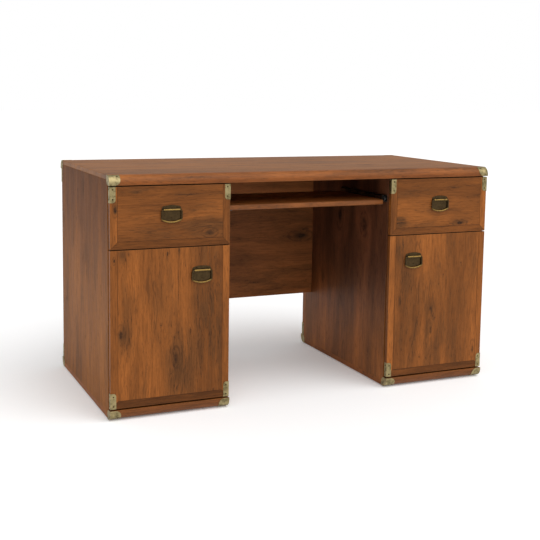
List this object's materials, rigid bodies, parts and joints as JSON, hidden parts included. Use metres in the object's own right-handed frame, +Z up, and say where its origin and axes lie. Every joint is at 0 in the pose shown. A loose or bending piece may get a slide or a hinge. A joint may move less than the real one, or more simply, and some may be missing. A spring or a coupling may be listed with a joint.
{
  "type": "computer desk",
  "caption": "Twin-pedestal computer desk: drop-bail drawers over cupboard doors, a sliding keyboard tray on roller runners, round-nosed mouldings and brass corner caps.",
  "frame": {"origin": "on the floor under the middle of the whole desk, pulls and caps included", "axes": "+X to the right along the desk's width, +Y from front to rear, +Z up"},
  "size_m": [1.4024, 0.7072, 0.78],
  "materials": {
    "brown_wood": "satin lacquer",
    "desktop_wood": "satin lacquer",
    "inner_wood": "satin lacquer",
    "drawer_box_wood": "matt",
    "antique_brass": "antique, satin",
    "dark_brass": "antique, worn bright",
    "nickelled_steel": "satin",
    "runner_metal": "satin",
    "roller_plastic": "matt",
    "glide_plastic": "matt"
  },
  "bodies": {
    "carcass": {"back_corner_brackets": "antique_brass", "base_corner_caps": "antique_brass", "desktop_board": "desktop_wood", "desktop_corner_caps": "antique_brass", "desktop_front_moulding": "desktop_wood", "desktop_rear_moulding": "desktop_wood", "door_hinge_arms": "nickelled_steel", "drawer_tracks": "runner_metal", "front_base_mouldings": "brown_wood", "glides": "glide_plastic", "left_back_panel": "brown_wood", "left_bottom_board": "brown_wood", "left_divider": "inner_wood", "left_inner_side": "brown_wood", "left_outer_side": "brown_wood", "left_shelf": "inner_wood", "modesty_panel": "brown_wood", "rear_base_mouldings": "brown_wood", "right_back_panel": "brown_wood", "right_bottom_board": "brown_wood", "right_divider": "inner_wood", "right_inner_side": "brown_wood", "right_outer_side": "brown_wood", "right_shelf": "inner_wood", "shelf_pins": "nickelled_steel", "tray_tracks": "runner_metal"},
    "left_drawer": {"left_drawer_front": "brown_wood", "left_drawer_sides": "drawer_box_wood", "left_drawer_back": "drawer_box_wood", "left_drawer_bottom": "drawer_box_wood", "left_drawer_runners": "runner_metal", "left_drawer_handle_plate": "dark_brass", "left_drawer_corner_brackets": "antique_brass"},
    "right_drawer": {"right_drawer_front": "brown_wood", "right_drawer_sides": "drawer_box_wood", "right_drawer_back": "drawer_box_wood", "right_drawer_bottom": "drawer_box_wood", "right_drawer_runners": "runner_metal", "right_drawer_handle_plate": "dark_brass", "right_drawer_corner_brackets": "antique_brass"},
    "left_door": {"left_door_panel": "brown_wood", "left_door_hinge_cups": "nickelled_steel", "left_door_handle_plate": "dark_brass", "left_door_corner_brackets": "antique_brass"},
    "right_door": {"right_door_panel": "brown_wood", "right_door_hinge_cups": "nickelled_steel", "right_door_handle_plate": "dark_brass", "right_door_corner_brackets": "antique_brass"},
    "tray": {"tray_board": "brown_wood", "tray_runners": "runner_metal"},
    "left_drawer_bail": {"left_drawer_bail": "dark_brass"},
    "right_drawer_bail": {"right_drawer_bail": "dark_brass"},
    "left_door_bail": {"left_door_bail": "dark_brass"},
    "right_door_bail": {"right_door_bail": "dark_brass"},
    "left_drawer_front_rollers": {"left_drawer_front_rollers": "roller_plastic"},
    "left_drawer_rear_rollers": {"left_drawer_rear_rollers": "roller_plastic"},
    "right_drawer_front_rollers": {"right_drawer_front_rollers": "roller_plastic"},
    "right_drawer_rear_rollers": {"right_drawer_rear_rollers": "roller_plastic"},
    "tray_front_rollers": {"tray_front_rollers": "roller_plastic"},
    "tray_rear_rollers": {"tray_rear_rollers": "roller_plastic"}
  },
  "joints": [
    {"name": "left_drawer_slide", "type": "slide", "parent": "carcass", "child": "left_drawer", "axis": [0, -1, 0], "range_m": [0, 0.35]},
    {"name": "right_drawer_slide", "type": "slide", "parent": "carcass", "child": "right_drawer", "axis": [0, -1, 0], "range_m": [0, 0.35]},
    {"name": "tray_slide", "type": "slide", "parent": "carcass", "child": "tray", "axis": [0, -1, 0], "range_m": [0, 0.25]},
    {"name": "left_door_hinge", "type": "hinge", "parent": "carcass", "child": "left_door", "pos_m": [-0.69, -0.3336, 0.2925], "axis": [0, 0, -1], "range_deg": [0, 95]},
    {"name": "right_door_hinge", "type": "hinge", "parent": "carcass", "child": "right_door", "pos_m": [0.69, -0.3336, 0.2925], "axis": [0, 0, 1], "range_deg": [0, 95]},
    {"name": "left_drawer_bail_swing", "type": "hinge", "parent": "left_drawer", "child": "left_drawer_bail", "pos_m": [-0.5, -0.3494, 0.667], "axis": [-1, 0, 0], "range_deg": [0, 80]},
    {"name": "right_drawer_bail_swing", "type": "hinge", "parent": "right_drawer", "child": "right_drawer_bail", "pos_m": [0.5, -0.3494, 0.667], "axis": [-1, 0, 0], "range_deg": [0, 80]},
    {"name": "left_door_bail_swing", "type": "hinge", "parent": "left_door", "child": "left_door_bail", "pos_m": [-0.3975, -0.3494, 0.468], "axis": [-1, 0, 0], "range_deg": [0, 80]},
    {"name": "right_door_bail_swing", "type": "hinge", "parent": "right_door", "child": "right_door_bail", "pos_m": [0.3975, -0.3494, 0.468], "axis": [-1, 0, 0], "range_deg": [0, 80]},
    {"name": "left_drawer_front_rollers_turn", "type": "hinge", "parent": "carcass", "child": "left_drawer_front_rollers", "pos_m": [-0.5, -0.3056, 0.583], "axis": [1, 0, 0], "range_deg": [0, 2240]},
    {"name": "left_drawer_rear_rollers_turn", "type": "hinge", "parent": "left_drawer", "child": "left_drawer_rear_rollers", "pos_m": [-0.5, 0.1394, 0.583], "axis": [1, 0, 0], "range_deg": [0, 2240]},
    {"name": "right_drawer_front_rollers_turn", "type": "hinge", "parent": "carcass", "child": "right_drawer_front_rollers", "pos_m": [0.5, -0.3056, 0.583], "axis": [1, 0, 0], "range_deg": [0, 2240]},
    {"name": "right_drawer_rear_rollers_turn", "type": "hinge", "parent": "right_drawer", "child": "right_drawer_rear_rollers", "pos_m": [0.5, 0.1394, 0.583], "axis": [1, 0, 0], "range_deg": [0, 2240]},
    {"name": "tray_front_rollers_turn", "type": "hinge", "parent": "carcass", "child": "tray_front_rollers", "pos_m": [0, -0.3056, 0.6735], "axis": [1, 0, 0], "range_deg": [0, 1600]},
    {"name": "tray_rear_rollers_turn", "type": "hinge", "parent": "tray", "child": "tray_rear_rollers", "pos_m": [0, -0.0046, 0.6735], "axis": [1, 0, 0], "range_deg": [0, 1600]}
  ],
  "couplings": [
    {"joint": "left_drawer_front_rollers_turn", "follows": "left_drawer_slide", "rad_per_m": 111.11},
    {"joint": "left_drawer_rear_rollers_turn", "follows": "left_drawer_slide", "rad_per_m": 111.11},
    {"joint": "right_drawer_front_rollers_turn", "follows": "right_drawer_slide", "rad_per_m": 111.11},
    {"joint": "right_drawer_rear_rollers_turn", "follows": "right_drawer_slide", "rad_per_m": 111.11},
    {"joint": "tray_front_rollers_turn", "follows": "tray_slide", "rad_per_m": 111.11},
    {"joint": "tray_rear_rollers_turn", "follows": "tray_slide", "rad_per_m": 111.11}
  ]
}
